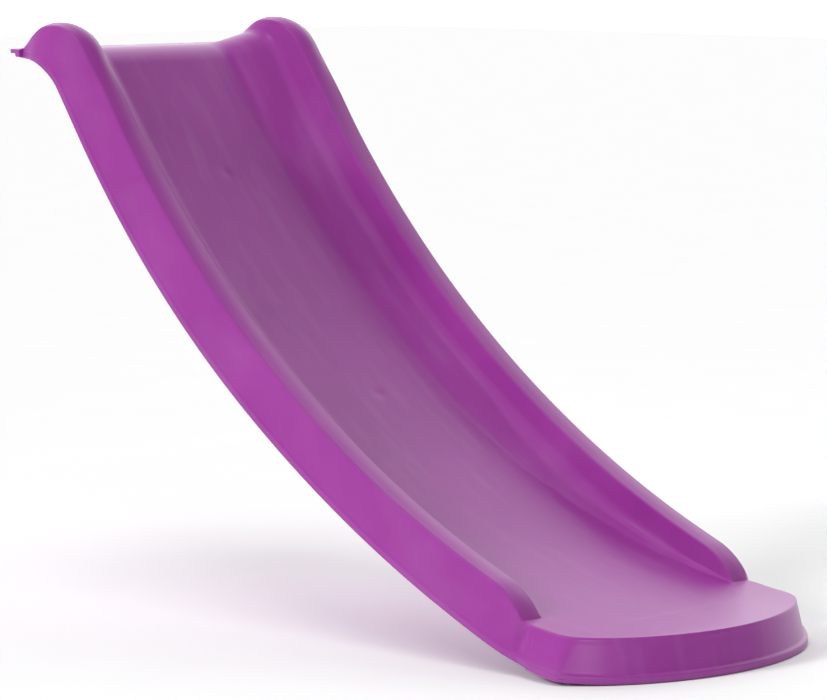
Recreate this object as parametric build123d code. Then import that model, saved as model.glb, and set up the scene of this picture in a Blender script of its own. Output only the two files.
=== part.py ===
from build123d import *
import math
import os

# Slide chute for a play platform: a hollow plastic moulding with a flat fixing flange at the
# top, raised side rims, a dished run and a wide toe that rests on the ground.
# Units are millimetres, +Z is up, the run goes down towards +X and Z = 0 is the ground.

# Main sizes
SKIN = 3.5
FLANGE_SKIN = 2.25
PLATFORM_HEIGHT = 600.0
FLANGE_TOP = PLATFORM_HEIGHT + 2 * FLANGE_SKIN
FLANGE_BACK = -12.0
FLANGE_CORNER = 2.0
FLANGE_HALF = 152.0
FLANGE_SIDE = 180.0
BODY_BACK = 12.0
BODY_START = 21.0
BODY_SIDE = 182.7
TOE_FRONT = 927.5
TOE_START = 785.0
SHIFT_X = -(FLANGE_BACK + TOE_FRONT) / 2

# Cross section of the run
RIM_OUTER = 177.0
RIM_INNER = 148.5
RIM_ROUND = 5.0
WALL_FLARE = 9.5 / 56.0
EDGE_HALF = 186.5

# Long lines seen from the side: start x, start z, start angle below level, then straight
# pieces ("line", length) and tangent bends ("bend", radius, end angle)
FLOOR_LINE = (
    BODY_START, FLANGE_TOP, 0.0,
    (("line", 13.5), ("bend", 45.0, 53.3), ("line", 84.9), ("bend", 1381.0, 28.0),
     ("bend", 680.0, 1.5), ("line", 60.0)),
)
RIM_LINE = (
    0.0, 636.5, 0.0,
    (("line", 71.5), ("bend", 70.0, 56.0), ("line", 91.5), ("bend", 632.0, 52.5),
     ("bend", 1260.7, 22.5), ("line", 90.0)),
)
LOW_ANGLE = 4.5
LOW_PIECES = (
    ("line", 21.3), ("bend", 74.1, 55.5), ("line", 60.3), ("bend", 1235.0, 38.0),
    ("bend", 1519.0, 21.3), ("bend", 173.0, 12.3), ("bend", 541.0, 0.0), ("line", 100.0),
)
HUMP_BACK = (10.0, 593.1, -50.0, (("line", 38.0), ("bend", 40.0, 0.0)))
NOSE = (742.0, 92.6, 22.5, (("bend", 84.0, 60.0), ("line", 2.0)))

# Inside of the side wall: run length, shoulder y, shoulder height, floor corner y
WALL_TABLE = (
    (0.0, 142.0, 8.0, 92.0),
    (53.0, 142.0, 24.0, 92.0),
    (141.0, 142.0, 21.0, 92.0),
    (551.0, 141.0, 16.5, 96.0),
    (681.0, 139.0, 8.0, 102.0),
    (736.0, 140.0, 8.0, 114.0),
    (821.0, 146.0, 9.0, 130.0),
    (921.0, 147.5, 4.0, 141.0),
)
SHOULDER_BLEND = 12.0

# Toe: plan outline arcs (radius, end angle from the run direction), deck and lip
FRONT_BEND = 285.0
FRONT_ANGLE = 24.0
SIDE_BEND = 205.0
LIP_ANGLE = 50.0
LIP_SIDE = 193.0
LIP_DEPTH = 8.0
LIP_PROUD = 4.0
DECK_ANGLE = 44.0
DECK_SIDE = 174.0
DECK_INSET = 14.5
DECK_LEVEL = 52.0

# Fixing screws and cup washers, flush with the top of the flange
SCREW_X = 0.0
SCREW_PITCH = 90.0
SHANK_R = 2.8
THREAD_R = 2.5
THREAD_LENGTH = 30.0
HEAD_R = 5.0
HEAD_DEPTH = 2.2
CUP_R = 7.5
CUP_FOOT_R = 3.8
CUP_DEPTH = 3.0
CUP_BORE_R = 3.0
HOLE_R = 3.3

# Sunk middle panel of the back skin, as lengths along the lower line
PANEL_DEPTH = 10.0
PANEL_HALF = 166.0
PANEL_START = 45.0
PANEL_END = 925.0

# Kiss-off cones between the two skins, as lengths along the run
CONE_LENGTHS = (208.0, 541.0)
CONE_BASE_R = 15.0
CONE_TIP_R = 6.0

# Plug in the moulding needle hole on the back, as a length along the lower line
PLUG_LENGTH = 430.0
PLUG_R = 4.0
PLUG_HEAD_R = 7.0
PLUG_HEAD = 1.2


def heading(angle):
    """Unit direction of travel and unit upward normal for an angle below level."""
    a = math.radians(angle)
    return (math.cos(a), -math.sin(a)), (math.sin(a), math.cos(a))


def bend_point(x, z, start, radius, angle):
    """Point on a tangent bend that began at (x, z) with the start angle."""
    n0 = heading(start)[1]
    n1 = heading(angle)[1]
    side = 1.0 if angle > start else -1.0
    return x + side * radius * (n1[0] - n0[0]), z + side * radius * (n1[1] - n0[1])


def line_length(line):
    """Total length of a long line."""
    total = 0.0
    angle = line[2]
    for piece in line[3]:
        if piece[0] == "line":
            total += piece[1]
        else:
            total += piece[1] * math.radians(abs(piece[2] - angle))
            angle = piece[2]
    return total


def along(line, length):
    """Point and angle at a length along a long line."""
    x, z, angle, pieces = line
    left = length
    for piece in pieces:
        if piece[0] == "line":
            step = min(left, piece[1])
            d = heading(angle)[0]
            x, z = x + step * d[0], z + step * d[1]
            left -= step
        else:
            full = piece[1] * math.radians(abs(piece[2] - angle))
            share = min(1.0, left / full)
            turned = angle + share * (piece[2] - angle)
            x, z = bend_point(x, z, angle, piece[1], turned)
            left -= share * full
            angle = turned
        if left <= 1e-9:
            break
    return x, z, angle


def portion(line, start, end):
    """Part of a long line between two lengths, as a long line of its own."""
    x, z, angle = along(line, start)
    passed, turned = 0.0, line[2]
    pieces = []
    for piece in line[3]:
        if piece[0] == "line":
            size = piece[1]
        else:
            size = piece[1] * math.radians(abs(piece[2] - turned))
        first, last = max(start, passed), min(end, passed + size)
        if last - first > 1e-6:
            if piece[0] == "line":
                pieces.append(("line", last - first))
            else:
                pieces.append(("bend", piece[1], along(line, last)[2]))
        passed += size
        turned = piece[2] if piece[0] == "bend" else turned
    return x, z, angle, tuple(pieces)


def line_edges(line, inset):
    """Edges of a long line in the XZ plane, moved down along its normal by the inset."""
    x, z, angle, pieces = line
    edges = []

    def place(px, pz, at_angle):
        n = heading(at_angle)[1]
        return Vector(px - inset * n[0], 0, pz - inset * n[1])

    for piece in pieces:
        start = place(x, z, angle)
        if piece[0] == "line":
            d = heading(angle)[0]
            x, z = x + piece[1] * d[0], z + piece[1] * d[1]
            edges.append(Edge.make_line(start, place(x, z, angle)))
        else:
            half = (angle + piece[2]) / 2
            middle = place(*bend_point(x, z, angle, piece[1], half), half)
            x, z = bend_point(x, z, angle, piece[1], piece[2])
            angle = piece[2]
            edges.append(Edge.make_three_point_arc(start, middle, place(x, z, angle)))
    return edges


def height_over(line, x, z, angle):
    """Distance from (x, z), along the upward normal for the angle, to a long line."""
    d, n = heading(angle)
    low, high = 0.0, line_length(line)
    for _ in range(60):
        middle = (low + high) / 2
        px, pz, _a = along(line, middle)
        if (px - x) * d[0] + (pz - z) * d[1] < 0:
            low = middle
        else:
            high = middle
    return (px - x) * n[0] + (pz - z) * n[1]


def wall_shape(length):
    """Shoulder y, shoulder height and floor corner y at a length along the run."""
    rows = WALL_TABLE
    for first, second in zip(rows, rows[1:]):
        if length <= second[0]:
            share = (length - first[0]) / (second[0] - first[0])
            share = share * share * (3 - 2 * share)
            return [p + share * (q - p) for p, q in zip(first[1:], second[1:])]
    return list(rows[-1][1:])


def inset_chain(points, inset):
    """Chain of (y, height) points moved into the material; the first stays on y = 0."""
    moved = []
    for (y0, h0), (y1, h1) in zip(points, points[1:]):
        size = math.hypot(y1 - y0, h1 - h0)
        ny, nh = (h1 - h0) / size, -(y1 - y0) / size
        moved.append(((y0 + inset * ny, h0 + inset * nh), (y1 + inset * ny, h1 + inset * nh)))
    result = [(0.0, moved[0][0][1])]
    for (a, b), (c, d) in zip(moved, moved[1:]):
        cross = (b[0] - a[0]) * (d[1] - c[1]) - (b[1] - a[1]) * (d[0] - c[0])
        t = ((c[0] - a[0]) * (d[1] - c[1]) - (c[1] - a[1]) * (d[0] - c[0])) / cross
        result.append((a[0] + t * (b[0] - a[0]), a[1] + t * (b[1] - a[1])))
    result.append(moved[-1][1])
    return result


def toward(start, end, distance):
    """Point at a distance from start on the way to end."""
    size = math.hypot(end[0] - start[0], end[1] - start[1])
    share = min(distance / size, 0.45)
    return start[0] + share * (end[0] - start[0]), start[1] + share * (end[1] - start[1])


def on_ground(pieces):
    """Long line through the pieces that starts at the body back and ends at Z = 0."""
    raised = (BODY_BACK, 0.0, LOW_ANGLE, pieces)
    drop = along(raised, line_length(raised))[1]
    return (BODY_BACK, -drop, LOW_ANGLE, pieces)


LOW_LINE = on_ground(LOW_PIECES)


def run_section(length, inset):
    """Cross section of everything under the top surface of the run."""
    x, z, angle = along(FLOOR_LINE, length)
    d, n = heading(angle)
    rim = height_over(RIM_LINE, x, z, angle)
    low = height_over(LOW_LINE, x, z, angle) - 12.0 - inset
    shoulder_y, shoulder_h, corner_y = wall_shape(length)
    foot = RIM_OUTER + WALL_FLARE * (rim - low)
    chain = [(0.0, 0.0), (corner_y, 0.0), (shoulder_y, shoulder_h), (RIM_INNER, rim),
             (RIM_OUTER, rim), (foot, low)]
    floor, corner, shoulder, inner, outer, foot = inset_chain(chain, inset)
    rounding = RIM_ROUND - inset
    if rounding < 1.0:
        rounding = 1.0

    def place(side, point):
        return Vector(x + point[1] * n[0], side * point[0], z + point[1] * n[1])

    bench_top = toward(shoulder, corner, SHOULDER_BLEND)
    wall_foot = toward(shoulder, inner, SHOULDER_BLEND)
    wall_top = toward(inner, shoulder, rounding)
    crown_in = toward(inner, outer, rounding)
    crown_out = toward(outer, inner, rounding)
    side_top = toward(outer, foot, rounding)
    pieces = [(corner, bench_top), (bench_top, shoulder, wall_foot), (wall_foot, wall_top),
              (wall_top, inner, crown_in), (crown_in, crown_out), (crown_out, outer, side_top),
              (side_top, foot)]
    edges = [Edge.make_line(place(-1, corner), place(1, corner)),
             Edge.make_line(place(1, foot), place(-1, foot))]
    for side in (1, -1):
        for piece in pieces:
            points = [place(side, point) for point in piece]
            make = Edge.make_line if len(points) == 2 else Edge.make_bezier
            edges.append(make(*points))
    return Face(Wire(edges))


def section_stations(inset):
    """Lengths along the run where cross sections are taken, ending at the toe plane."""
    end = toe_length() + (5.0 if inset else 0.0)
    count = 14
    stations = [0.0, 13.5, 27.0, 41.0, 55.4, 98.0, 141.0]
    return stations + [141.0 + (end - 141.0) * i / count for i in range(1, count + 1)]


def toe_length():
    """Length along the run at which the floor reaches the start of the toe."""
    length = 141.0
    while along(FLOOR_LINE, length)[0] < TOE_START:
        length += 0.25
    return length


def side_solid(edges, corners, half_width):
    """Solid across the width from a side outline: edges first, then straight corners."""
    start = edges[0].position_at(0)
    points = [edges[-1].position_at(1)] + [Vector(x, 0, z) for x, z in corners] + [start]
    closing = [Edge.make_line(a, b) for a, b in zip(points, points[1:])]
    face = Face(Wire(list(edges) + closing))
    return extrude(face, amount=half_width, dir=(0, 1, 0), both=True)


def run_body(inset):
    """Everything under the top surface of the run, with hump backs and noses shaped."""
    body = loft([run_section(s, inset) for s in section_stations(inset)])
    back = line_edges(HUMP_BACK, inset)
    keep = side_solid(back, ((60.0, 800.0), (1000.0, 800.0), (1000.0, -100.0), (0.0, -100.0),
                             (0.0, 560.0)), 260.0)
    nose = line_edges(NOSE, inset)
    foot = nose[-1].position_at(1)
    if inset:
        foot = Vector(foot.X + 1.0, 0, 47.0)
        nose.append(Edge.make_line(nose[-1].position_at(1), foot))
    top = nose[0].position_at(0)
    front = side_solid(nose, ((1000.0, foot.Z), (1000.0, 300.0), (top.X, 300.0)), 260.0)
    return (body & keep) - front


def toe_outline(inset, angle, side, level):
    """Plan outline of the toe, inset from the lip edge, as a face at a level."""
    x, y, turned = TOE_FRONT - inset, 0.0, 0.0
    arcs = []
    reach = [(FRONT_BEND - inset, FRONT_ANGLE), (SIDE_BEND - inset, angle)]
    end_y = reach[0][0] * math.sin(math.radians(FRONT_ANGLE))
    end_y += reach[1][0] * (math.sin(math.radians(angle)) - math.sin(math.radians(FRONT_ANGLE)))
    reach.append(((side - end_y) / (1.0 - math.sin(math.radians(angle))), 90.0))
    for radius, end in reach:
        points = []
        for step in (0.0, 0.5, 1.0):
            a, b = math.radians(turned), math.radians(turned + step * (end - turned))
            points.append((x + radius * (math.cos(b) - math.cos(a)),
                           y + radius * (math.sin(b) - math.sin(a))))
        arcs.append(points)
        x, y = points[-1]
        turned = end
    edges = []
    for points in arcs:
        for sign in (1, -1):
            edges.append(Edge.make_three_point_arc(
                *[Vector(px, sign * py, level) for px, py in points]))
    back = TOE_START - 60.0
    for sign in (1, -1):
        edges.append(Edge.make_line(Vector(x, sign * y, level),
                                    Vector(back, sign * y, level)))
    edges.append(Edge.make_line(Vector(back, y, level), Vector(back, -y, level)))
    return Face(Wire(edges))


def toe_body(inset):
    """Toe deck and its drafted skirt under the deck surface, ahead of the run."""
    slope = (DECK_INSET - LIP_PROUD) / (DECK_LEVEL - LIP_DEPTH)
    low = toe_outline(LIP_PROUD + inset - slope * LIP_DEPTH - slope * 20.0, LIP_ANGLE,
                      LIP_SIDE - LIP_PROUD - inset + slope * LIP_DEPTH + slope * 20.0, -20.0)
    high = toe_outline(DECK_INSET + inset, DECK_ANGLE, DECK_SIDE - inset, DECK_LEVEL)
    skirt = loft([low, high], ruled=True)
    start = toe_length() - (5.0 if inset else 0.0)
    x, z, angle = along(FLOOR_LINE, start)
    deck = line_edges(portion(FLOOR_LINE, start, line_length(FLOOR_LINE)), inset)
    n = heading(angle)[1]
    foot = (x - 100.0 * n[0], z - 100.0 * n[1])
    return skirt & side_solid(deck, ((1100.0, -30.0), (1100.0, foot[1]), foot), 260.0)


def plan_outline():
    """Plan outline of the whole moulding at its parting edge, as a face at Z = 0."""
    toe = toe_outline(0.0, LIP_ANGLE, LIP_SIDE, 0.0)
    arcs = [edge for edge in toe.edges() if edge.geom_type == GeomType.CIRCLE]
    ends = [edge.position_at(t) for edge in arcs for t in (0, 1)]
    corner = min(ends, key=lambda point: point.X)
    half = [(corner.X, abs(corner.Y)), (TOE_START, EDGE_HALF), (90.0, EDGE_HALF),
            (BODY_START, BODY_SIDE), (FLANGE_CORNER, FLANGE_SIDE), (FLANGE_BACK, FLANGE_HALF)]
    around = half + [(x, -y) for x, y in reversed(half)]
    sides = [Edge.make_line(Vector(*a, 0), Vector(*b, 0)) for a, b in zip(around, around[1:])]
    return Face(Wire(arcs + sides))


def under_joint():
    """Everything below the surface where the two skins meet."""
    edges = line_edges(portion(LOW_LINE, SKIN, line_length(LOW_LINE)), -SKIN)
    top = edges[0].position_at(0)
    level = PLATFORM_HEIGHT + FLANGE_SKIN
    return side_solid(edges, ((1100.0, edges[-1].position_at(1).Z), (1100.0, -200.0),
                              (-200.0, -200.0), (-200.0, level), (top.X, level)), 300.0)


def under_back():
    """Everything below the outside of the back skin."""
    edges = line_edges(LOW_LINE, 0.0)
    top = edges[0].position_at(0)
    return side_solid(edges, ((1150.0, 0.0), (1150.0, -250.0), (-250.0, -250.0),
                              (-250.0, PLATFORM_HEIGHT), (top.X, PLATFORM_HEIGHT)), 350.0)


def panel(inset):
    """The sunk middle panel of the back, from its outside up past the joint."""
    middle = portion(LOW_LINE, PANEL_START + inset, PANEL_END - inset)
    edges = line_edges(middle, PANEL_DEPTH - inset)
    corners = []
    for length in (PANEL_END - inset, PANEL_START + inset):
        x, z, angle = along(LOW_LINE, length)
        n = heading(angle)[1]
        corners.append((x + 60.0 * n[0], z + 60.0 * n[1]))
    return side_solid(edges, corners, PANEL_HALF - inset)


def screw_spots():
    """Places of the fixing screws at the top of the flange."""
    return [Pos(SCREW_X, i * SCREW_PITCH, FLANGE_TOP) for i in (-1, 0, 1)]


def turned(points):
    """Solid turned about Z from (radius, height) points."""
    corners = [Vector(r, 0, z) for r, z in points]
    edges = [Edge.make_line(a, b) for a, b in zip(corners, corners[1:] + corners[:1])]
    return revolve(Face(Wire(edges)), axis=Axis.Z)


def screw():
    """Countersunk fixing screw, head flush at Z = 0, pointing down."""
    under = -2 * FLANGE_SKIN
    end = under - THREAD_LENGTH
    return turned(((0.0, 0.0), (HEAD_R, 0.0), (SHANK_R, -HEAD_DEPTH), (SHANK_R, under),
                   (THREAD_R, under), (THREAD_R, end), (0.0, end)))


def cup_washer():
    """Flush cup washer that fills the countersink around a screw head."""
    seat = -HEAD_DEPTH * (HEAD_R - CUP_BORE_R) / (HEAD_R - SHANK_R)
    return turned(((HEAD_R, 0.0), (CUP_R, 0.0), (CUP_FOOT_R, -CUP_DEPTH),
                   (CUP_BORE_R, -CUP_DEPTH), (CUP_BORE_R, seat)))


def screw_hole():
    """Countersink and clearance hole for one screw and its cup washer."""
    deep = -3 * SKIN
    return turned(((0.0, 0.0), (CUP_R, 0.0), (CUP_FOOT_R, -CUP_DEPTH), (HOLE_R, -CUP_DEPTH),
                   (HOLE_R, deep), (0.0, deep)))


def slide_shell():
    """Upper skin: floor, walls, rims, toe deck, skirt, lip and the top of the flange."""
    run = run_body(0.0) - run_body(SKIN)
    plan = plan_outline()
    block = Pos(0, 0, PLATFORM_HEIGHT - 20) * extrude(plan, amount=20 + 2 * FLANGE_SKIN)
    ahead = Pos(BODY_START + 500, 0, PLATFORM_HEIGHT) * Box(1000, 600, 100)
    flange = block - ahead
    lip_band = line_edges(LOW_LINE, -LIP_DEPTH)
    under_lip = side_solid(lip_band, ((1100.0, LIP_DEPTH), (1100.0, -60.0), (0.0, -60.0)), 260.0)
    behind = Pos(TOE_START - 1001, 0, 0) * Box(2000, 600, 3000)
    lip = (Pos(0, 0, -20) * extrude(plan, amount=100) & under_lip) - behind
    toe = toe_body(0.0)
    toe = toe + lip - toe_body(SKIN)
    shell = flange + run + toe - (under_joint() - panel(SKIN))
    for spot in screw_spots():
        shell = shell - spot * screw_hole()
    return shell


def along_normal(line, length, depth):
    """Plane across a long line's normal, at a length along it and a depth under it."""
    x, z, angle = along(line, length)
    n = heading(angle)[1]
    origin = (x - depth * n[0], 0, z - depth * n[1])
    return Plane(origin=origin, x_dir=(0, 1, 0), z_dir=(n[0], 0, n[1]))


def kiss_cone(length):
    """Cone from the back panel to the underside of the floor, and the hollow inside it."""
    x, z, angle = along(FLOOR_LINE, length)
    depth = PANEL_DEPTH - height_over(LOW_LINE, x, z, angle)
    radii = (CONE_BASE_R, CONE_TIP_R)
    cone = loft([along_normal(FLOOR_LINE, length, depth - 0.5 * SKIN) * Circle(radii[0]),
                 along_normal(FLOOR_LINE, length, 0.5 * SKIN) * Circle(radii[1])])
    wall = SKIN - 1.0
    hollow = loft([along_normal(FLOOR_LINE, length, depth + 3.0) * Circle(radii[0]),
                   along_normal(FLOOR_LINE, length, 2 * SKIN) * Circle(radii[1] - wall)])
    return cone, hollow


def back_shell(shell):
    """Back skin with the lower half of the flange, the sunk panel and the cones."""
    plan = Pos(0, 0, -50) * extrude(plan_outline(), amount=800)
    back = (plan & under_joint()) - under_back()
    back = back + (panel(0.0) & under_joint()) - panel(SKIN)
    for length in CONE_LENGTHS:
        cone, hollow = kiss_cone(length)
        back = back + cone - hollow
    back = back - shell
    for spot in screw_spots():
        back = back - spot * screw_hole()
    return back - plug_place() * Cylinder(PLUG_R, 30)


def plug_place():
    """Location of the plug on the outside of the back skin, Z pointing into the moulding."""
    return along_normal(LOW_LINE, PLUG_LENGTH, PANEL_DEPTH)


def needle_plug(back):
    """Plug pressed into the hole in the back skin, its head outside."""
    body = turned(((0.0, -PLUG_HEAD), (PLUG_HEAD_R - 1.0, -PLUG_HEAD), (PLUG_HEAD_R, 0.0),
                   (PLUG_R, 0.0), (PLUG_R, SKIN + 1.0), (0.0, SKIN + 1.0)))
    return plug_place() * body - back


if __name__ == "__main__":
    os.makedirs("parts", exist_ok=True)
    slide = slide_shell()
    back = back_shell(slide)
    nodes = {
        "slide_shell": slide,
        "back_shell": back,
        "needle_plug": needle_plug(back),
        "flange_screws": Compound([spot * screw() for spot in screw_spots()]),
        "cup_washers": Compound([spot * cup_washer() for spot in screw_spots()]),
    }
    for name, shape in nodes.items():
        export_step(Pos(SHIFT_X, 0, 0) * shape, f"parts/{name}.step")
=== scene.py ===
import math

import bpy
import numpy as np
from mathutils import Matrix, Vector


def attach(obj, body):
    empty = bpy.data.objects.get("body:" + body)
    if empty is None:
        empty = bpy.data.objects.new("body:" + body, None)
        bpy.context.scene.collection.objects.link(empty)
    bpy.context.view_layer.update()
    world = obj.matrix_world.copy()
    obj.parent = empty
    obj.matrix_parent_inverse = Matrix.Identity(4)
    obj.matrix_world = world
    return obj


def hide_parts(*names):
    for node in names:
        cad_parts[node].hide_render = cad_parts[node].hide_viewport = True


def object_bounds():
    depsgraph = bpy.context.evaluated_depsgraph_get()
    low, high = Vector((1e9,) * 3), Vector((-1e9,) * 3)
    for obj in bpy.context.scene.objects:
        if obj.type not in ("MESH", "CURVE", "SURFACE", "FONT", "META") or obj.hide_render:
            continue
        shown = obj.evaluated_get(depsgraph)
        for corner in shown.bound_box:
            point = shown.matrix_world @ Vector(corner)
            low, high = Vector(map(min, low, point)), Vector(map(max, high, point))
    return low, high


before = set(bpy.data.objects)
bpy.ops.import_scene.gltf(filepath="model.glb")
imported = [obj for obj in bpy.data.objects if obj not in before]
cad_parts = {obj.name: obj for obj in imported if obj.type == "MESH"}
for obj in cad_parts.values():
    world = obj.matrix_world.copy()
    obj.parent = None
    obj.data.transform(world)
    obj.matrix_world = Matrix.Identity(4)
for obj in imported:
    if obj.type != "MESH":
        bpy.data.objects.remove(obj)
cad_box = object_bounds()

# The CAD frame is centred on the overall length; the lines below start from the flange tongue
# at the near side of the top, so they are moved by this much. Lines are in millimetres.
FLANGE_BACK = -12.0
SHIFT = cad_box[0][0] * 1000.0 - FLANGE_BACK
SKIN = 3.5
FLANGE_THICK = 4.5
FLANGE_TOP = 600.0 + FLANGE_THICK
FLANGE_SIDE = 180.0
FLANGE_CORNER = 2.0
BODY_START = 21.0

# Long lines seen from the side: start x, z and angle below level, then ("line", length) and
# ("bend", radius, end angle)
FLOOR_LINE = (BODY_START, FLANGE_TOP, 0.0, (
    ("line", 13.5), ("bend", 45.0, 53.3), ("line", 84.9), ("bend", 1381.0, 28.0),
    ("bend", 680.0, 1.5), ("line", 60.0)))
RIM_LINE = (20.0, 605.0, -50.0, (
    ("line", 22.4), ("bend", 40.0, 0.0), ("line", 6.5), ("bend", 70.0, 56.0), ("line", 91.5),
    ("bend", 632.0, 52.5), ("bend", 1260.7, 22.5), ("line", 22.7), ("bend", 84.0, 68.0),
    ("line", 30.0)))
LOW_PIECES = (
    ("line", 21.3), ("bend", 74.1, 55.5), ("line", 60.3), ("bend", 1235.0, 38.0),
    ("bend", 1519.0, 21.3), ("bend", 173.0, 12.3), ("bend", 541.0, 0.0), ("line", 100.0))

# Inside of the side wall along the run: length, shoulder y, shoulder height, shoulder
# radius, floor corner y, floor corner radius
WALL_TABLE = (
    (0.0, 142.0, 8.0, 8.0, 92.0, 4.0),
    (53.0, 142.0, 24.0, 14.0, 92.0, 3.0),
    (141.0, 142.0, 21.0, 16.0, 92.0, 3.0),
    (551.0, 141.0, 16.5, 16.0, 96.0, 4.0),
    (681.0, 139.0, 9.0, 28.0, 103.0, 16.0),
    (741.0, 141.0, 6.5, 30.0, 114.0, 24.0),
    (821.0, 146.0, 6.0, 20.0, 127.0, 24.0),
    (921.0, 147.5, 4.0, 3.0, 141.0, 8.0),
    (960.0, 148.0, 1.0, 1.0, 146.0, 2.0),
)
RIM_OUT = 177.0
RIM_IN = 148.5
FLARE = 9.5 / 56.0
EDGE = 186.5


def heading(angle):
    """Unit direction of travel and unit upward normal for an angle below level."""
    a = math.radians(angle)
    return (math.cos(a), -math.sin(a)), (math.sin(a), math.cos(a))


def walk(line, step):
    """Points along a long line: arrays of length, x, z and angle."""
    x, z, angle, pieces = line
    rows = [(0.0, x, z, angle)]
    total = 0.0
    for piece in pieces:
        bend = piece[0] == "bend"
        size = piece[1] * math.radians(abs(piece[2] - angle)) if bend else piece[1]
        count = max(2, int(size / step))
        for i in range(1, count + 1):
            share = i / count
            if bend:
                now = angle + share * (piece[2] - angle)
                n0, n1 = heading(angle)[1], heading(now)[1]
                side = 1.0 if piece[2] > angle else -1.0
                px = x + side * piece[1] * (n1[0] - n0[0])
                pz = z + side * piece[1] * (n1[1] - n0[1])
            else:
                now, d = angle, heading(angle)[0]
                px, pz = x + share * size * d[0], z + share * size * d[1]
            rows.append((total + share * size, px, pz, now))
        total += size
        x, z, angle = px, pz, now
    return np.array(rows)


FLOOR = walk(FLOOR_LINE, 2.0)
RIM = walk(RIM_LINE, 1.0)
# The lower line is walked from level zero, then raised so that it ends on the ground
LOW = walk((12.0, 0.0, 4.5, LOW_PIECES), 2.0)
LOW[:, 2] -= LOW[-1, 2]


def at(rows, length):
    """Point x, z and angle at a length along a walked line."""
    return [float(np.interp(length, rows[:, 0], rows[:, c])) for c in (1, 2, 3)]


def height_over(rows, x, z, tilt):
    """Distance from (x, z) along the tilted upward direction to a long line."""
    d, n = heading(tilt)
    ahead = (rows[:, 1] - x) * d[0] + (rows[:, 2] - z) * d[1]
    i = int(np.argmax(ahead > 0))
    if ahead[i] <= 0:
        i = len(rows) - 1
    i = max(i, 1)
    share = np.clip(-ahead[i - 1] / (ahead[i] - ahead[i - 1]), 0.0, 1.0)
    px = rows[i - 1, 1] + share * (rows[i, 1] - rows[i - 1, 1])
    pz = rows[i - 1, 2] + share * (rows[i, 2] - rows[i - 1, 2])
    return float((px - x) * n[0] + (pz - z) * n[1])


def smooth(value, low, high):
    """Eased step from 0 at low to 1 at high."""
    t = min(1.0, max(0.0, (value - low) / (high - low)))
    return t * t * (3 - 2 * t)


def wall_shape(length):
    """Row of the wall table at a length along the run, eased between its rows."""
    rows = np.array(WALL_TABLE)
    i = int(np.clip(np.searchsorted(rows[:, 0], length) - 1, 0, len(rows) - 2))
    share = smooth(length, rows[i, 0], rows[i + 1, 0])
    return rows[i, 1:] + share * (rows[i + 1, 1:] - rows[i, 1:])


# Plan outlines of the toe by the angle of the outline's normal: 0 is the front, 90 the side
# as inset from the front, end angle of the second arc and half width
FOOT_SIDE = 188.5
LIP_SIDE = 193.0
OUTLINES = {
    "deck": (12.0, 44.0, RIM_OUT),
    "foot": (4.0, 50.0, FOOT_SIDE),
    "lip": (0.0, 50.0, LIP_SIDE),
}
TOE_FRONT = 927.5
FRONT_BEND = 285.0
FRONT_ANGLE = 24.0
SIDE_BEND = 205.0


def toe_point(name, phi):
    """Point of a toe outline where its normal makes the angle phi with the run."""
    inset, second, side = OUTLINES[name]
    r1, r2 = FRONT_BEND - inset, SIDE_BEND - inset
    rise = [math.sin(math.radians(a)) for a in (FRONT_ANGLE, second)]
    y2 = r1 * rise[0] + r2 * (rise[1] - rise[0])
    r3 = (side - y2) / (1 - rise[1])
    x, y, start = TOE_FRONT - inset, 0.0, 0.0
    for radius, end in ((r1, FRONT_ANGLE), (r2, second), (r3, 90.0)):
        stop = min(phi, end)
        a, b = math.radians(start), math.radians(stop)
        x += radius * (math.cos(b) - math.cos(a))
        y += radius * (math.sin(b) - math.sin(a))
        start = end
        if phi <= end:
            break
    return x, y


CORNER_WEIGHT = 0.7


def fillet_chain(points, radii, straights, arcs):
    """Samples a chain of corners with rounded turns; the same counts for every chain."""
    pts = [np.array(p, float) for p in points]
    starts, ends, middles = [pts[0]], [], []
    for i in range(1, len(pts) - 1):
        a, b, c = pts[i - 1], pts[i], pts[i + 1]
        la, lc = np.linalg.norm(a - b), np.linalg.norm(c - b)
        u, v = (a - b) / max(la, 1e-9), (c - b) / max(lc, 1e-9)
        turn = math.pi - math.acos(float(np.clip(u @ v, -1, 1)))
        least = 0.12 * min(la, lc)
        reach = max(least, min(radii[i] * math.tan(min(turn, 2.6) / 2), 0.46 * la, 0.46 * lc))
        ends.append(b + u * reach)
        middles.append(b)
        starts.append(b + v * reach)
    ends.append(pts[-1])
    out = []
    for i in range(len(pts) - 1):
        for k in range(straights[i]):
            t = k / straights[i]
            out.append(starts[i] + t * (ends[i] - starts[i]))
        if i < len(middles):
            w = CORNER_WEIGHT
            for k in range(arcs[i]):
                t = k / arcs[i]
                b0, b1, b2 = (1 - t) ** 2, 2 * w * t * (1 - t), t * t
                out.append((b0 * ends[i] + b1 * middles[i] + b2 * starts[i + 1])
                           / (b0 + b1 + b2))
    out.append(pts[-1])
    return np.array(out)


# Samples on each straight and on each rounded corner, the same on every rib
STRAIGHTS = (3, 2, 12, 6, 2, 2, 8, 10, 30)
ARCS = (4, 4, 3, 8, 6, 7, 9, 7)
BACK_STRAIGHTS = (2, 6, 3, 30)
BACK_ARCS = (4, 5, 5)


def lip_share(x):
    """How far the lip of the toe has grown out of the side's lower edge."""
    return smooth(x, 765.0, 830.0)


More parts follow.
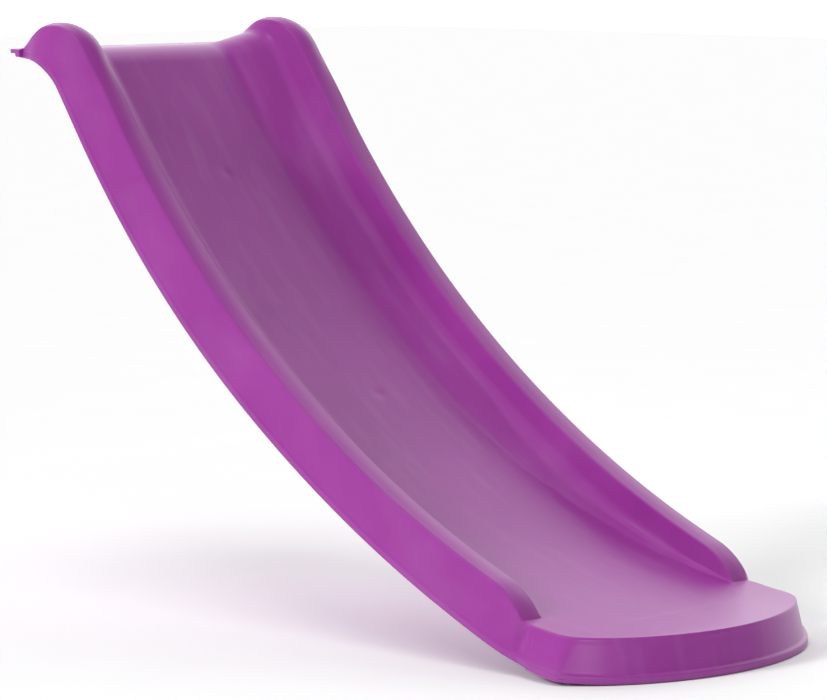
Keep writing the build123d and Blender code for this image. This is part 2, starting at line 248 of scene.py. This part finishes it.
def rib_chain(length):
    """Corners (outward, height) of the upper skin at a length along the run, lip first."""
    x, z, angle = at(FLOOR, length)
    tilt = angle * (1.0 - smooth(x, 690.0, 775.0))
    rim = max(0.0, height_over(RIM, x, z, tilt))
    low = height_over(LOW, x, z, tilt)
    sy, sh, sr, cy, cr = wall_shape(length)
    sh = min(sh, 0.55 * rim)
    sy = min(sy, RIM_IN - 0.5)
    to_toe = smooth(x, 776.0, 788.0)
    lip = lip_share(x)
    plain = RIM_OUT + FLARE * (rim - low - 9.0)
    foot = plain + (FOOT_SIDE - plain) * lip
    edge = plain + 1.0 + (192.0 - plain) * lip
    mid_h = (low + 9.0) + 0.35 * (rim - low - 9.0)
    mid_h += (-7.0 - mid_h) * to_toe
    mid_run = RIM_OUT + FLARE * (rim - mid_h)
    valley = math.exp(-((x - 786.0) / 4.5) ** 2)
    mid = mid_run + (178.8 - mid_run) * to_toe - 4.0 * valley
    top_y = RIM_OUT - 1.5 * valley
    corner = 3.6 + 8.4 * to_toe
    crown = min(0.2 * rim, 1.3 + 3.7 * (1.0 - smooth(length, 70.0, 150.0)))
    chain = [
        (edge, low + SKIN), (edge, low + 7.5), (foot, low + 9.0), (mid, mid_h),
        (top_y, rim - crown), (162.0 - 4.0 * to_toe, rim), (RIM_IN, rim - crown), (sy, sh), (cy, 0.0),
        (0.0, 0.0)]
    radii = [0.0, 2.0, 3.0, 6.0, corner, 60.0, 1.8, sr, cr, 0.0]
    return x, z, tilt, chain, radii


def back_chain(edge, top, low, sunk):
    """Corners of the back skin, from the parting edge to the middle."""
    return [(edge, top), (edge, low), (167.0, low), (161.0, low - sunk), (0.0, low - sunk)]


BACK_RADII = [0.0, 1.6, 3.0, 3.0, 0.0]


def panel_depth(length):
    """How far the middle panel of the back is sunk at a length along the run."""
    return 9.6 * smooth(length, 34.0, 50.0) * (1.0 - smooth(length, 905.0, 925.0))


CONES = (208.0, 541.0)
DIMPLE_DEPTH = 1.1
DIMPLE_R = 7.5


def cone_rise(length, y, full):
    """Rise of the back skin at the kiss-off cones."""
    rise = 0.0
    for spot in CONES:
        away = math.hypot(length - spot, y)
        rise = max(rise, full * (1.0 - smooth(away, 5.0, 15.0)))
    return rise


def run_rib(length):
    """Ribs of the upper and the back skin at a length along the run."""
    x, z, tilt, chain, radii = rib_chain(length)
    n = heading(tilt)[1]
    flat = fillet_chain(chain, radii, STRAIGHTS, ARCS)
    for point in flat:
        for spot in CONES:
            away = math.hypot(length - spot, point[0])
            if point[0] < 8 * DIMPLE_R:
                point[1] -= DIMPLE_DEPTH * math.exp(-(away / DIMPLE_R) ** 2)
    low = chain[0][1] - SKIN
    sunk = panel_depth(length)
    back = fillet_chain(back_chain(chain[0][0], low + SKIN, low, sunk), BACK_RADII,
                        BACK_STRAIGHTS, BACK_ARCS)
    for point in back:
        point[1] += cone_rise(length, point[0], sunk - low - 2 * SKIN)

    def place(points):
        away = points[:, 1]
        return np.column_stack((x + away * n[0], points[:, 0], z + away * n[1]))

    return place(flat), place(back)


def toe_rib(share, phi):
    """Rib of the toe: share 0 to 1 along the straight side, then phi 90 to 0 round the front."""
    ends = {name: toe_point(name, phi) for name in OUTLINES}
    start_x = RUN_END_X
    if share < 1.0:
        ends = {k: (start_x + share * (p[0] - start_x), p[1]) for k, p in ends.items()}
    lip = lip_share(start_x + share * 30.0)
    centre = start_x + share * 30.0 + (1.0 - phi / 90.0) * 30.0
    low = float(np.interp(ends["lip"][0], LOW[:, 1], LOW[:, 2]))
    deck = float(np.interp(ends["deck"][0], FLOOR[:, 1], FLOOR[:, 2]))
    drop = low - deck
    edge = EDGE + (LIP_SIDE - EDGE) * lip
    foot = EDGE + (FOOT_SIDE - EDGE) * lip
    chain = [
        (edge, drop + SKIN), (edge, drop + 7.5), (foot, drop + 9.0), (178.8, -7.0),
        (RIM_OUT, 0.0), (158.0, 0.0), (RIM_IN, 0.0), (148.0 - 12.0 * share, 0.0),
        (146.0 - 36.0 * share, 0.0), (0.0, 0.0)]
    radii = [0.0, 2.0, 3.0, 6.0, 12.0, 60.0, 1.8, 1.0, 2.0, 0.0]
    flat = fillet_chain(chain, radii, STRAIGHTS, ARCS)
    back = fillet_chain(back_chain(edge, SKIN, 0.0, 0.0), BACK_RADII, BACK_STRAIGHTS, BACK_ARCS)
    c = np.array((centre, 0.0))
    d, f, e = (np.array(ends[k]) for k in ("deck", "foot", "lip"))

    def plan(q):
        if q <= RIM_OUT:
            return c + (d - c) * (q / RIM_OUT)
        if q <= FOOT_SIDE:
            return d + (f - d) * ((q - RIM_OUT) / (FOOT_SIDE - RIM_OUT))
        return f + (e - f) * ((q - FOOT_SIDE) / (LIP_SIDE - FOOT_SIDE))

    top = []
    for q, k in flat:
        p = plan(q)
        top.append((p[0], p[1], k + float(np.interp(min(p[0], d[0]), FLOOR[:, 1], FLOOR[:, 2]))))
    under = []
    for q, k in back:
        p = plan(q)
        under.append((p[0], p[1], k + float(np.interp(p[0], LOW[:, 1], LOW[:, 2]))))
    return np.array(top), np.array(under)


RUN_END = 984.0
RUN_END_X = at(FLOOR, RUN_END)[0]


def flange_rib(x):
    """Rib of the flat flange, from its edge to the middle."""
    past = x - FLANGE_CORNER
    half = FLANGE_SIDE + (2.7 / 19.0 * past if past > 0 else 2.0 * past)
    low = -(FLANGE_THICK + 4.0 * smooth(x, 11.5, 12.5))
    joint = low + 0.5 * min(FLANGE_THICK, -low)
    chain = [
        (half, joint), (half, 0.4 * joint), (half, 0.3 * joint), (half, 0.2 * joint),
        (half, 0.0), (half - 16.0, 0.0), (half - 30.0, 0.0), (half - 34.0, 0.0), (92.0, 0.0),
        (0.0, 0.0)]
    radii = [0.0, 0.1, 0.1, 0.1, 0.7, 1.0, 1.0, 1.0, 1.0, 0.0]
    flat = fillet_chain(chain, radii, STRAIGHTS, ARCS)
    corners = [(half, joint), (half, low), (half - 10.0, low), (half - 14.0, low), (0.0, low)]
    back = fillet_chain(corners, [0.0, 1.0, 3.0, 3.0, 0.0], BACK_STRAIGHTS, BACK_ARCS)

    def place(points):
        return np.column_stack((np.full(len(points), x), points[:, 0],
                                FLANGE_TOP + points[:, 1]))

    return place(flat), place(back)


def spaced(low, high, step):
    """Even places from low up to, but not at, high."""
    count = max(1, int(round((high - low) / step)))
    return [low + (high - low) * i / count for i in range(count)]


RIBS = [flange_rib(x) for x in spaced(FLANGE_BACK, BODY_START, 1.1)]
RUN_LENGTHS = (spaced(0.0, 64.0, 1.6) + spaced(64.0, 141.0, 3.0) + spaced(141.0, 900.0, 3.5)
               + spaced(900.0, 940.0, 2.5) + spaced(940.0, RUN_END, 0.75))
RIBS += [run_rib(s) for s in RUN_LENGTHS]
RIBS += [toe_rib(s, 90.0) for s in spaced(0.0, 1.0, 0.08)]
RIBS += [toe_rib(1.0, 90.0 - a) for a in spaced(0.0, 40.0, 2.5) + spaced(40.0, 66.0, 1.6)
         + spaced(66.0, 90.0, 1.5) + [90.0]]


def build_grid(name, ribs, flip=False):
    """Mesh of both halves from ribs that end on the middle plane."""
    verts, faces = [], []
    rows, cols = len(ribs), len(ribs[0])
    grid = {}
    for side in (1, -1):
        for i, rib in enumerate(ribs):
            for j, (x, y, z) in enumerate(rib):
                on_middle = j == cols - 1 or abs(y) < 1e-6
                if side == -1 and on_middle:
                    grid[side, i, j] = grid[1, i, j]
                    continue
                grid[side, i, j] = len(verts)
                verts.append(((x + SHIFT) / 1000, side * y / 1000, z / 1000))
        for i in range(rows - 1):
            for j in range(cols - 1):
                quad = [grid[side, i, j], grid[side, i + 1, j], grid[side, i + 1, j + 1],
                        grid[side, i, j + 1]]
                quad = list(dict.fromkeys(quad))
                if len(quad) < 3:
                    continue
                if (side == 1) != flip:
                    quad.reverse()
                faces.append(quad)
    mesh = bpy.data.meshes.new(name)
    mesh.from_pydata(verts, [], faces)
    mesh.validate()
    for poly in mesh.polygons:
        poly.use_smooth = True
    obj = bpy.data.objects.new(name, mesh)
    bpy.context.scene.collection.objects.link(obj)
    return obj


upper = build_grid("moulded_upper_skin", [rib[0] for rib in RIBS])
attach(upper, "root")
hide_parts("slide_shell")
back = build_grid("moulded_back_skin", [rib[1] for rib in RIBS], flip=True)
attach(back, "root")
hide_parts("back_shell")
for piece in (upper, back):
    solid = piece.modifiers.new("skin", "SOLIDIFY")
    solid.thickness = 0.003
    solid.offset = -1.0
    solid.use_even_offset = False


# Countersunk holes of the flange screws, a little wider than the cup washers
SCREW_PITCH = 90.0
HOLE_R = 3.3
CUP_R = 7.55
CUP_FOOT_R = 3.85
CUP_DEPTH = 3.0


def turned(name, profile, centres, steps=40):
    """Mesh of one closed (radius, height) profile turned about Z at each centre."""
    verts, faces = [], []
    size = len(profile)
    for cx, cy in centres:
        first = len(verts)
        for k in range(steps):
            a = 2 * math.pi * k / steps
            verts += [((cx + r * math.cos(a) + SHIFT) / 1000, (cy + r * math.sin(a)) / 1000,
                       z / 1000) for r, z in profile]
        for k in range(steps):
            here, there = first + k * size, first + (k + 1) % steps * size
            faces += [(here + j, there + j, there + j + 1, here + j + 1)
                      for j in range(size - 1)]
        faces.append([first + k * size for k in range(steps)])
        faces.append([first + k * size + size - 1 for k in reversed(range(steps))])
    mesh = bpy.data.meshes.new(name)
    mesh.from_pydata(verts, [], faces)
    obj = bpy.data.objects.new(name, mesh)
    bpy.context.scene.collection.objects.link(obj)
    return obj


def cut_screw_holes(piece):
    """Cuts the countersinks and clearance holes of the three flange screws."""
    seat = FLANGE_TOP - CUP_DEPTH
    profile = [(HOLE_R, FLANGE_TOP - 12.0), (HOLE_R, seat), (CUP_FOOT_R, seat),
               (CUP_R, FLANGE_TOP), (CUP_R, FLANGE_TOP + 2.0)]
    cutter = turned("cutter", profile, [(0.0, SCREW_PITCH * i) for i in (-1, 0, 1)])
    cut = piece.modifiers.new("holes", "BOOLEAN")
    cut.object = cutter
    cut.solver = "EXACT"
    graph = bpy.context.evaluated_depsgraph_get()
    mesh = bpy.data.meshes.new_from_object(piece.evaluated_get(graph))
    mesh.set_sharp_from_angle(angle=math.radians(38.0))
    piece.modifiers.clear()
    piece.data = mesh
    bpy.data.objects.remove(cutter)


for piece in (upper, back):
    cut_screw_holes(piece)


def add(nodes, kind, **values):
    """Adds a shader node and sets the named inputs and settings."""
    node = nodes.new(kind)
    for key, value in values.items():
        if key.startswith("in_"):
            node.inputs[key[3:].replace("_", " ")].default_value = value
        else:
            setattr(node, key, value)
    return node


def surface(name, color, shade, rough, metallic=0.0, grain=420.0, bump=0.0002, streak=(1, 1, 1)):
    """Procedural material: mottled colour and gloss, worn patches and a fine grain."""
    mat = bpy.data.materials.new(name)
    mat.use_nodes = True
    nodes, links = mat.node_tree.nodes, mat.node_tree.links
    bsdf = nodes["Principled BSDF"]
    bsdf.inputs["IOR"].default_value = 1.5
    bsdf.inputs["Metallic"].default_value = metallic
    place = add(nodes, "ShaderNodeTexCoord")
    stretch = add(nodes, "ShaderNodeMapping", in_Scale=streak)
    links.new(place.outputs["Object"], stretch.inputs["Vector"])
    mottle = add(nodes, "ShaderNodeTexNoise", in_Scale=7.0, in_Detail=5.0, in_Roughness=0.62)
    links.new(place.outputs["Object"], mottle.inputs["Vector"])
    fine = add(nodes, "ShaderNodeTexNoise", in_Scale=grain, in_Detail=3.0, in_Roughness=0.6)
    links.new(place.outputs["Object"], fine.inputs["Vector"])
    scuffs = add(nodes, "ShaderNodeTexNoise", in_Scale=9.0, in_Detail=2.0, in_Roughness=0.5)
    links.new(stretch.outputs["Vector"], scuffs.inputs["Vector"])
    worn = add(nodes, "ShaderNodeMapRange", in_From_Min=0.50, in_From_Max=0.80)
    links.new(scuffs.outputs["Fac"], worn.inputs["Value"])
    tint = add(nodes, "ShaderNodeMapRange", in_From_Min=0.34, in_From_Max=0.66)
    links.new(mottle.outputs["Fac"], tint.inputs["Value"])
    body = add(nodes, "ShaderNodeMix", data_type="RGBA")
    body.inputs["A"].default_value = (*shade, 1.0)
    body.inputs["B"].default_value = (*color, 1.0)
    links.new(tint.outputs["Result"], body.inputs["Factor"])
    faded = add(nodes, "ShaderNodeMix", data_type="RGBA")
    pale = [c + 0.12 * (0.8 - c) for c in color]
    faded.inputs["B"].default_value = (*pale, 1.0)
    wear = add(nodes, "ShaderNodeMath", operation="MULTIPLY")
    wear.inputs[1].default_value = 0.3
    links.new(worn.outputs["Result"], wear.inputs[0])
    links.new(wear.outputs[0], faded.inputs["Factor"])
    links.new(body.outputs["Result"], faded.inputs["A"])
    links.new(faded.outputs["Result"], bsdf.inputs["Base Color"])
    gloss = add(nodes, "ShaderNodeMapRange", in_From_Min=0.3, in_From_Max=0.7,
                in_To_Min=rough - 0.02, in_To_Max=rough + 0.02)
    links.new(mottle.outputs["Fac"], gloss.inputs["Value"])
    dull = add(nodes, "ShaderNodeMath", operation="MULTIPLY_ADD")
    dull.inputs[1].default_value = 0.02
    links.new(worn.outputs["Result"], dull.inputs[0])
    links.new(gloss.outputs["Result"], dull.inputs[2])
    links.new(dull.outputs[0], bsdf.inputs["Roughness"])
    skin = add(nodes, "ShaderNodeBump", in_Strength=0.3, in_Distance=bump)
    links.new(fine.outputs["Fac"], skin.inputs["Height"])
    links.new(skin.outputs["Normal"], bsdf.inputs["Normal"])
    return mat


magenta = surface("magenta_plastic_look", (0.345, 0.046, 0.335), (0.305, 0.036, 0.295), 0.31,
                  streak=(1.0, 5.0, 1.0))
plug_look = surface("plug_plastic_look", (0.22, 0.035, 0.22), (0.19, 0.03, 0.19), 0.55)
zinc_look = surface("zinc_steel_look", (0.60, 0.61, 0.63), (0.5, 0.51, 0.53), 0.32, 1.0,
                    grain=1500.0, bump=0.00004, streak=(1.0, 1.0, 9.0))
upper.data.materials.append(magenta)
back.data.materials.append(magenta)
LOOKS = {"needle_plug": plug_look, "flange_screws": zinc_look, "cup_washers": zinc_look}
for name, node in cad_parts.items():
    node.data.materials.clear()
    node.data.materials.append(LOOKS.get(name, magenta))

# Floor
floor_mesh = bpy.data.meshes.new("studio_floor")
floor_mesh.from_pydata([(-15, -15, 0), (15, -15, 0), (15, 15, 0), (-15, 15, 0)], [], [(0, 1, 2, 3)])
floor = bpy.data.objects.new("studio_floor", floor_mesh)
bpy.context.scene.collection.objects.link(floor)
floor_look = surface("pale_floor_look", (0.93, 0.93, 0.93), (0.92, 0.92, 0.92), 0.85, grain=300.0)
floor.data.materials.append(floor_look)
floor.location = (0, 0, -0.0005)

# Light: a bright backdrop behind the slide, dimmer in front, two suns and three softboxes
world = bpy.data.worlds.new("studio")
bpy.context.scene.world = world
world.use_nodes = True
wn, wl = world.node_tree.nodes, world.node_tree.links
sky = add(wn, "ShaderNodeTexCoord")
behind = add(wn, "ShaderNodeVectorMath", operation="DOT_PRODUCT")
behind.inputs[1].default_value = (-0.68, 0.72, 0.12)
wl.new(sky.outputs["Generated"], behind.inputs[0])
level = add(wn, "ShaderNodeMapRange", interpolation_type="SMOOTHSTEP", in_From_Min=0.15,
            in_From_Max=0.95, in_To_Min=0.24, in_To_Max=1.55)
wl.new(behind.outputs["Value"], level.inputs["Value"])
wl.new(level.outputs["Result"], wn["Background"].inputs["Strength"])
wn["Background"].inputs["Color"].default_value = (1, 1, 1, 1)


def softbox(name, place, target, size, power):
    """Rectangular soft light at a place, aimed at a target."""
    data = bpy.data.lights.new(name, "AREA")
    data.shape = "RECTANGLE"
    data.size, data.size_y = size
    data.energy = power
    lamp = bpy.data.objects.new(name, data)
    bpy.context.scene.collection.objects.link(lamp)
    lamp.location = place
    aim = Vector(target) - Vector(place)
    lamp.rotation_euler = aim.to_track_quat("-Z", "Y").to_euler()


def sun(name, toward, angle, strength):
    """Broad soft sun from a direction, which the gloss doesn't mirror."""
    data = bpy.data.lights.new(name, "SUN")
    data.angle = math.radians(angle)
    data.energy = strength
    lamp = bpy.data.objects.new(name, data)
    bpy.context.scene.collection.objects.link(lamp)
    lamp.rotation_euler = Vector(toward).to_track_quat("Z", "Y").to_euler()
    lamp.visible_glossy = False


sun("key", (-0.30, -0.80, 0.50), 14.0, 1.6)
sun("top", (0.10, -0.25, 1.0), 35.0, 0.85)
softbox("corner", (2.5, -1.70, 1.21), (0.38, -0.1, 0.03), (0.45, 0.9), 9)
softbox("rim", (0.3, 1.5, 1.5), (0, 0, 0.35), (0.4, 0.9), 0.6)
softbox("edge", (-1.0, -1.9, 2.9), (-0.2, 0, 0.5), (0.35, 0.35), 5.0)

# Camera
camera_data = bpy.data.cameras.new("camera")
camera = bpy.data.objects.new("camera", camera_data)
bpy.context.scene.collection.objects.link(camera)
camera.location = ((3475.0 + SHIFT) / 1000, -3.059, 0.767)
look = Vector((-0.6980, 0.7075, -0.1109))
camera.rotation_euler = look.to_track_quat("-Z", "Y").to_euler()
camera_data.sensor_width = 36.0
camera_data.lens = 4009.0 * 36.0 / 827.0
bpy.context.scene.camera = camera
bpy.context.scene.view_settings.view_transform = "Standard"
